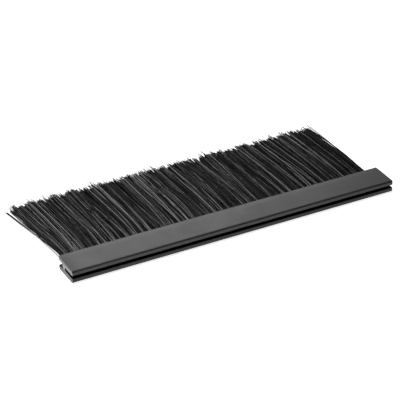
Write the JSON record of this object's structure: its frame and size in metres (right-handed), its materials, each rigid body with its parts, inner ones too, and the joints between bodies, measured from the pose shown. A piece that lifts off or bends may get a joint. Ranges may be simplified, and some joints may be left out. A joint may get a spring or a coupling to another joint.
{
  "type": "brush cable grommet",
  "caption": "Straight push-on edge strip with a thick row of black bristles, used to close a cable cut-out in a panel while cables pass through.",
  "frame": {"origin": "middle of the panel slot's floor, where the edge of the panel stops, half way along the profile and half way between its flanges", "axes": "+X along the profile, +Y from the slot towards the bristle tips, +Z out of the upper flange, up when the strip lies flat"},
  "size_m": [0.2042, 0.0908, 0.0082],
  "materials": {
    "black_pvc": "satin, as extruded",
    "galvanised_steel": "galvanised strip, roll formed",
    "steel_wire": "drawn",
    "black_nylon": "satin filaments"
  },
  "bodies": {
    "root": {"edge_profile": "black_pvc", "brush_channel": "galvanised_steel", "core_wire": "steel_wire", "bristles": "black_nylon"}
  },
  "joints": []
}
